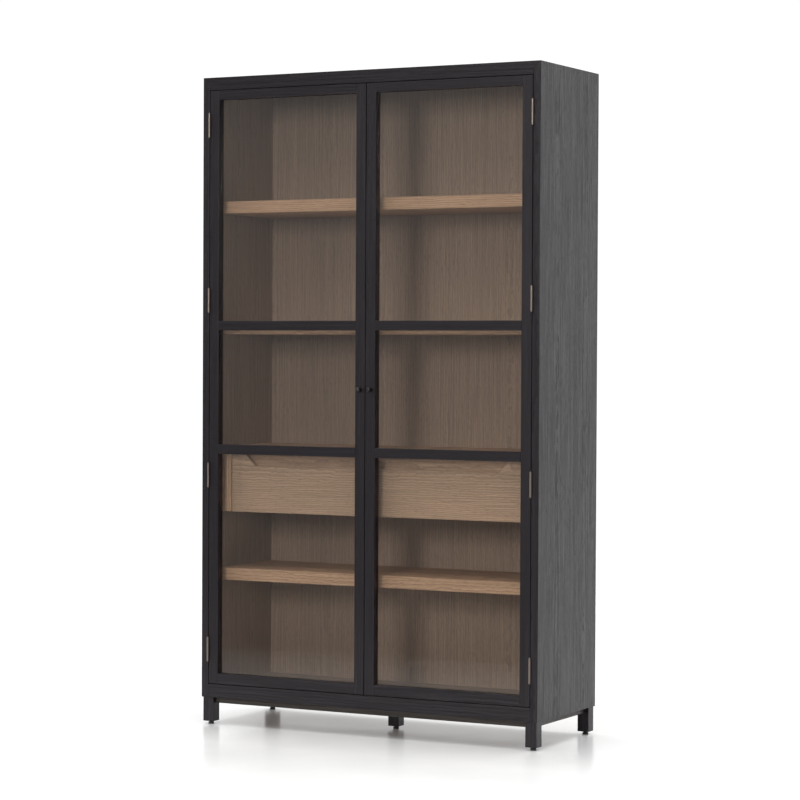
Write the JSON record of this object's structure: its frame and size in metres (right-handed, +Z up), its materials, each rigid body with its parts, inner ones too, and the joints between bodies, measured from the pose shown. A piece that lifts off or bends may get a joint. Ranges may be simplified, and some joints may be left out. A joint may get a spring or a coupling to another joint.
{
  "type": "apothecary cabinet",
  "caption": "Tall free-standing wooden storage cabinet with a pair of glazed inset doors, fixed shelves, a notched inner drawer and short square legs.",
  "frame": {"origin": "on the floor, under the middle of the whole object's bounding box", "axes": "+Z up; +X to the right seen from the front; +Y from the doors to the back"},
  "size_m": [1.2, 0.453, 2.09],
  "materials": {
    "black_oak": "wire-brushed oak, stained black, matt",
    "weathered_oak": "grey-brown weathered oak, matt",
    "brown_oak": "dark brown stained oak, matt",
    "clear_glass": "clear float glass, polished",
    "hinge_metal": "satin nickel, slightly warm",
    "knob_metal": "dark blackened metal, satin",
    "glide_plastic": "black moulded plastic, matt"
  },
  "bodies": {
    "case": {"back_apron": "brown_oak", "back_left_leg": "black_oak", "back_panel": "weathered_oak", "back_right_leg": "black_oak", "bottom_panel": "weathered_oak", "centre_leg": "black_oak", "door_stop": "black_oak", "drawer_back": "weathered_oak", "drawer_bottom": "weathered_oak", "drawer_box_front": "weathered_oak", "drawer_front": "weathered_oak", "drawer_left_side": "weathered_oak", "drawer_right_side": "weathered_oak", "drawer_runners": "weathered_oak", "drawer_top_board": "weathered_oak", "front_apron": "brown_oak", "front_left_leg": "black_oak", "front_right_leg": "black_oak", "head_rail": "black_oak", "hinge_pins": "hinge_metal", "left_apron": "brown_oak", "left_case_leaves": "hinge_metal", "left_drawer_cheek": "weathered_oak", "left_drawer_filler": "weathered_oak", "left_side": "black_oak", "levelling_glides": "glide_plastic", "lower_shelf": "weathered_oak", "middle_shelf": "weathered_oak", "right_apron": "brown_oak", "right_case_leaves": "hinge_metal", "right_drawer_cheek": "weathered_oak", "right_drawer_filler": "weathered_oak", "right_side": "black_oak", "sill_rail": "black_oak", "top_panel": "black_oak", "upper_shelf": "weathered_oak"},
    "left_door": {"left_hinge_stile": "black_oak", "left_lock_stile": "black_oak", "left_bottom_rail": "black_oak", "left_lower_muntin": "black_oak", "left_upper_muntin": "black_oak", "left_top_rail": "black_oak", "left_lower_pane": "clear_glass", "left_middle_pane": "clear_glass", "left_upper_pane": "clear_glass", "left_glazing_beads": "black_oak", "left_knob": "knob_metal", "left_door_leaves": "hinge_metal"},
    "right_door": {"right_hinge_stile": "black_oak", "right_lock_stile": "black_oak", "right_bottom_rail": "black_oak", "right_lower_muntin": "black_oak", "right_upper_muntin": "black_oak", "right_top_rail": "black_oak", "right_lower_pane": "clear_glass", "right_middle_pane": "clear_glass", "right_upper_pane": "clear_glass", "right_glazing_beads": "black_oak", "right_knob": "knob_metal", "right_door_leaves": "hinge_metal"}
  },
  "joints": [
    {"name": "left_door_hinge", "type": "hinge", "parent": "case", "child": "left_door", "pos_m": [-0.575, -0.2112, 1.09], "axis": [0, 0, -1], "range_deg": [0, 180]},
    {"name": "right_door_hinge", "type": "hinge", "parent": "case", "child": "right_door", "pos_m": [0.575, -0.2112, 1.09], "axis": [0, 0, 1], "range_deg": [0, 180]}
  ]
}
